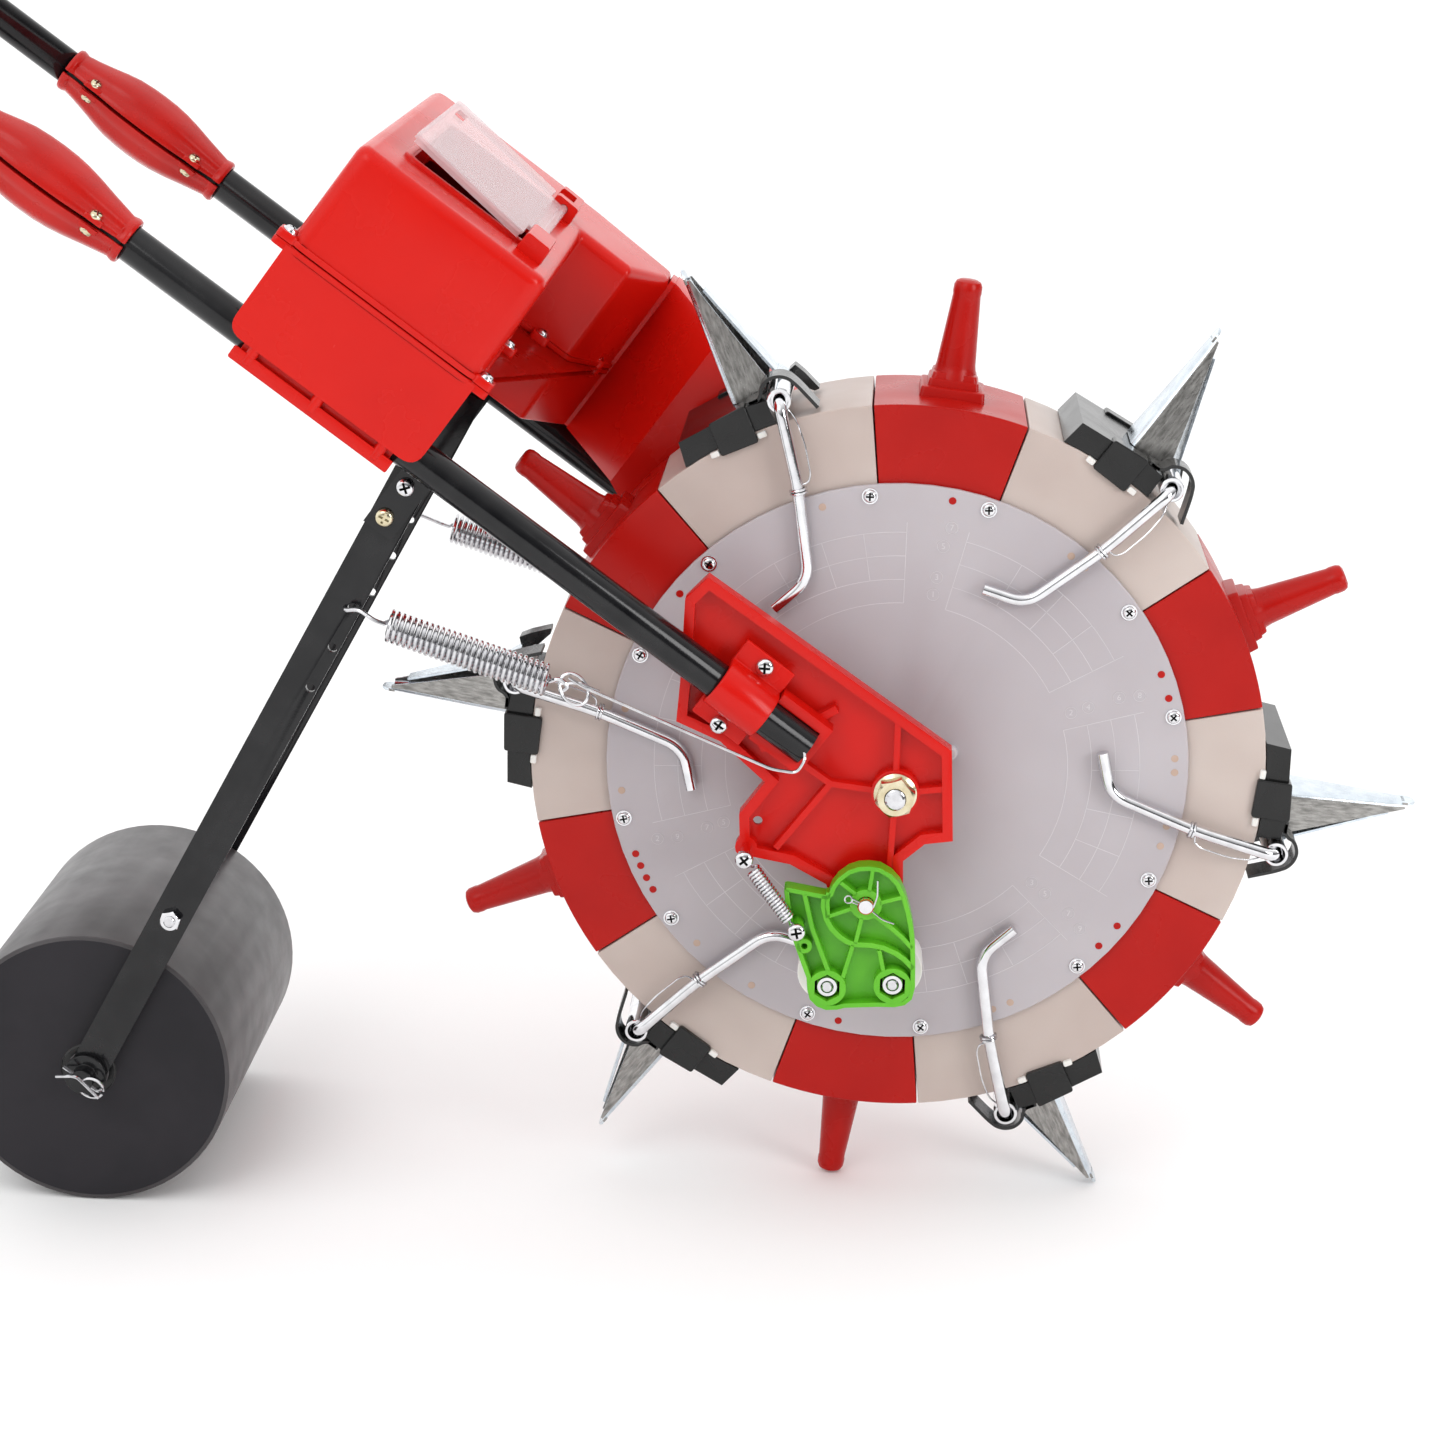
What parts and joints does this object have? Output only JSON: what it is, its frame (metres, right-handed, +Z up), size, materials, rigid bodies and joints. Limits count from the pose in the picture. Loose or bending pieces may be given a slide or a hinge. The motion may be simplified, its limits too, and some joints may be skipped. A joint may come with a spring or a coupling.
{
  "type": "garden spreader",
  "caption": "Walk-behind garden seed spreader with a pegged dibble wheel of duckbill beaks, a tilted seed hopper, a push bar and a sprung press roller.",
  "frame": {"origin": "centre of the bounding box's underside, on the ground below the machine", "axes": "+X forward from the push bar towards the wheel, +Y across the machine to the operator's left, +Z up"},
  "size_m": [1.254, 0.2474, 0.9559],
  "materials": {
    "red_plastic": "glossy orange-red moulded plastic",
    "segment_red": "smooth deep red moulded plastic",
    "segment_cream": "semi-gloss cream nylon",
    "disc_milky": "milky translucent polypropylene",
    "black_plastic": "satin black moulded plastic",
    "galvanised": "zinc plated sheet steel",
    "chromed": "bright nickel plated steel",
    "black_steel": "gloss black powder coat",
    "grip_foam": "matt black foam",
    "clear_plastic": "clear plastic",
    "green_plastic": "bright green moulded plastic",
    "white_nylon": "white nylon",
    "roller_plastic": "satin charcoal moulded plastic",
    "brass_zinc": "yellow zinc plated steel"
  },
  "bodies": {
    "frame": {"axle": "brass_zinc", "near_bracket": "red_plastic", "far_bracket": "red_plastic", "tube_near": "black_steel", "tube_far": "black_steel", "near_saddle": "red_plastic", "far_saddle": "red_plastic", "hopper_upper": "red_plastic", "hopper_lower": "red_plastic", "seed_chute": "red_plastic", "hopper_base": "red_plastic", "near_coupler": "red_plastic", "far_coupler": "red_plastic", "push_bar": "black_steel", "handle_grip": "grip_foam", "spring_near": "chromed", "spring_far": "chromed", "cam_spring": "chromed"},
    "wheel": {"near_disc": "disc_milky", "far_disc": "disc_milky", "wheel_hub": "segment_cream", "rim_red_1": "segment_red", "rim_cream_1": "segment_cream", "beak_base_1": "black_plastic", "beak_shell_1": "galvanised", "rim_red_2": "segment_red", "rim_cream_2": "segment_cream", "beak_base_2": "black_plastic", "beak_shell_2": "galvanised", "rim_red_3": "segment_red", "rim_cream_3": "segment_cream", "beak_base_3": "black_plastic", "beak_shell_3": "galvanised", "rim_red_4": "segment_red", "rim_cream_4": "segment_cream", "beak_base_4": "black_plastic", "beak_shell_4": "galvanised", "rim_red_5": "segment_red", "rim_cream_5": "segment_cream", "beak_base_5": "black_plastic", "beak_shell_5": "galvanised", "rim_red_6": "segment_red", "rim_cream_6": "segment_cream", "beak_base_6": "black_plastic", "beak_shell_6": "galvanised"},
    "beak_1": {"beak_flap_1": "chromed"},
    "beak_2": {"beak_flap_2": "chromed"},
    "beak_3": {"beak_flap_3": "chromed"},
    "beak_4": {"beak_flap_4": "chromed"},
    "beak_5": {"beak_flap_5": "chromed"},
    "beak_6": {"beak_flap_6": "chromed"},
    "roller_arm": {"arm_near": "black_steel", "arm_far": "black_steel", "roller_axle": "chromed"},
    "press_roller": {"roller": "roller_plastic"},
    "lid": {"hopper_lid": "clear_plastic"},
    "cam": {"cam_lever": "green_plastic"},
    "cam_wheel_a": {"cam_roller_a": "white_nylon"},
    "cam_wheel_b": {"cam_roller_b": "white_nylon"}
  },
  "joints": [
    {"name": "wheel_spin", "type": "hinge", "parent": "frame", "child": "wheel", "pos_m": [0.36036, -0.012, 0.2417], "axis": [0, 1, 0], "continuous": true},
    {"name": "beak_1_open", "type": "hinge", "parent": "wheel", "child": "beak_1", "pos_m": [0.48931, -0.012, 0.38964], "axis": [0, 1, 0], "range_deg": [0, 22], "stiffness_Nm_per_rad": 0.5, "springref_deg": -34.38},
    {"name": "beak_2_open", "type": "hinge", "parent": "wheel", "child": "beak_2", "pos_m": [0.55296, -0.012, 0.204], "axis": [0, 1, 0], "range_deg": [0, 22], "stiffness_Nm_per_rad": 0.5, "springref_deg": -34.38},
    {"name": "beak_3_open", "type": "hinge", "parent": "wheel", "child": "beak_3", "pos_m": [0.42401, -0.012, 0.05605], "axis": [0, 1, 0], "range_deg": [0, 22], "stiffness_Nm_per_rad": 0.5, "springref_deg": -34.38},
    {"name": "beak_4_open", "type": "hinge", "parent": "wheel", "child": "beak_4", "pos_m": [0.23141, -0.012, 0.09376], "axis": [0, 1, 0], "range_deg": [0, 22], "stiffness_Nm_per_rad": 0.5, "springref_deg": -34.38},
    {"name": "beak_5_open", "type": "hinge", "parent": "wheel", "child": "beak_5", "pos_m": [0.16776, -0.012, 0.2794], "axis": [0, 1, 0], "range_deg": [0, 22], "stiffness_Nm_per_rad": 0.5, "springref_deg": -34.38},
    {"name": "beak_6_open", "type": "hinge", "parent": "wheel", "child": "beak_6", "pos_m": [0.29671, -0.012, 0.42735], "axis": [0, 1, 0], "range_deg": [0, 22], "stiffness_Nm_per_rad": 0.5, "springref_deg": -34.38},
    {"name": "lid_hinge", "type": "hinge", "parent": "frame", "child": "lid", "pos_m": [0.18116, -0.012, 0.50465], "axis": [0, 1, 0], "range_deg": [-6, 110]},
    {"name": "arm_swing", "type": "hinge", "parent": "frame", "child": "roller_arm", "pos_m": [0.11986, 0, 0.3879], "axis": [0, 1, 0], "range_deg": [0, 12], "stiffness_Nm_per_rad": 20, "springref_deg": -28.65},
    {"name": "roller_spin", "type": "hinge", "parent": "roller_arm", "child": "press_roller", "pos_m": [-0.04874, 0, 0.0731], "axis": [0, 1, 0], "continuous": true},
    {"name": "cam_swing", "type": "hinge", "parent": "frame", "child": "cam", "pos_m": [0.34796, -0.096, 0.1871], "axis": [0, 1, 0], "range_deg": [-14, 0], "stiffness_Nm_per_rad": 2, "springref_deg": 22.92},
    {"name": "cam_wheel_a_spin", "type": "hinge", "parent": "cam", "child": "cam_wheel_a", "pos_m": [0.32966, -0.074, 0.1418], "axis": [0, 1, 0], "continuous": true},
    {"name": "cam_wheel_b_spin", "type": "hinge", "parent": "cam", "child": "cam_wheel_b", "pos_m": [0.36236, -0.074, 0.1448], "axis": [0, 1, 0], "continuous": true}
  ]
}
